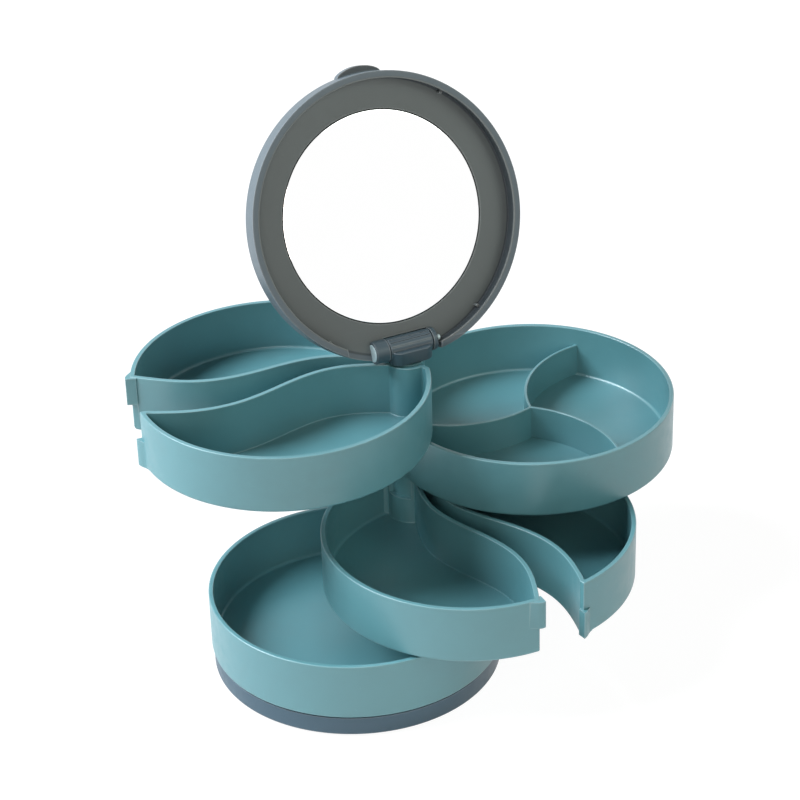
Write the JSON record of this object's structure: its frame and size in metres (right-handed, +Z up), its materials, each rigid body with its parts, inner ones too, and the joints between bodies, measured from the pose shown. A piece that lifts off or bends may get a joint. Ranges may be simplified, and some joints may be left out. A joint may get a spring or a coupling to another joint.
{
  "type": "rotating jewellery organizer",
  "caption": "Round stacked jewellery organizer whose trays swing out on one post, under a hinged mirror lid that also turns on the post.",
  "frame": {"origin": "centre of the round base, on the plane that the foot pads stand on", "axes": "+Z up along the post; -Y towards the finger tabs when the stack is closed; +Y towards the post; +X to the right as seen from the tabs"},
  "size_m": [0.1859, 0.1837, 0.1972],
  "materials": {
    "tray_teal": "satin moulded plastic, dusty teal",
    "lid_slate": "satin moulded plastic, slate grey",
    "base_slate": "satin moulded plastic, slate blue",
    "hinge_slate": "smooth moulded plastic, slate blue",
    "steel": "plain",
    "mirror": "polished",
    "rubber": "matte",
    "tape": "foam tape"
  },
  "bodies": {
    "base": {"base_cover": "base_slate", "base_tray": "tray_teal", "base_screw_1": "steel", "base_screw_2": "steel", "base_screw_3": "steel", "foot_pad_1": "rubber", "foot_pad_2": "rubber", "foot_pad_3": "rubber", "foot_pad_4": "rubber"},
    "third_right": {"third_tray_right": "tray_teal"},
    "third_left": {"third_tray_left": "tray_teal"},
    "second": {"second_tray": "tray_teal"},
    "top_right": {"top_tray_right": "tray_teal"},
    "top_left": {"top_tray_left": "tray_teal"},
    "swivel": {"hinge_block": "hinge_slate", "pivot_post": "steel", "post_screw": "steel", "post_washer": "steel"},
    "lid": {"lid_shell": "lid_slate", "mirror": "mirror", "mirror_tape": "tape", "hinge_pin": "steel"}
  },
  "joints": [
    {"name": "third_right_swing", "type": "hinge", "parent": "base", "child": "third_right", "pos_m": [0, 0.0468, 0], "axis": [0, 0, 1], "continuous": true},
    {"name": "third_left_swing", "type": "hinge", "parent": "third_right", "child": "third_left", "pos_m": [0, 0.0468, 0], "axis": [0, 0, 1], "range_deg": [-90, 9.4]},
    {"name": "second_swing", "type": "hinge", "parent": "base", "child": "second", "pos_m": [0, 0.0468, 0], "axis": [0, 0, 1], "continuous": true},
    {"name": "top_right_swing", "type": "hinge", "parent": "base", "child": "top_right", "pos_m": [0, 0.0468, 0], "axis": [0, 0, 1], "continuous": true},
    {"name": "top_left_swing", "type": "hinge", "parent": "top_right", "child": "top_left", "pos_m": [0, 0.0468, 0], "axis": [0, 0, 1], "range_deg": [-86, 13.9]},
    {"name": "swivel_turn", "type": "hinge", "parent": "base", "child": "swivel", "pos_m": [0, 0.0468, 0], "axis": [0, 0, 1], "continuous": true},
    {"name": "lid_hinge", "type": "hinge", "parent": "swivel", "child": "lid", "pos_m": [0, 0.0468, 0.1025], "axis": [0.6157, 0.788, 0], "range_deg": [0, 110]}
  ]
}
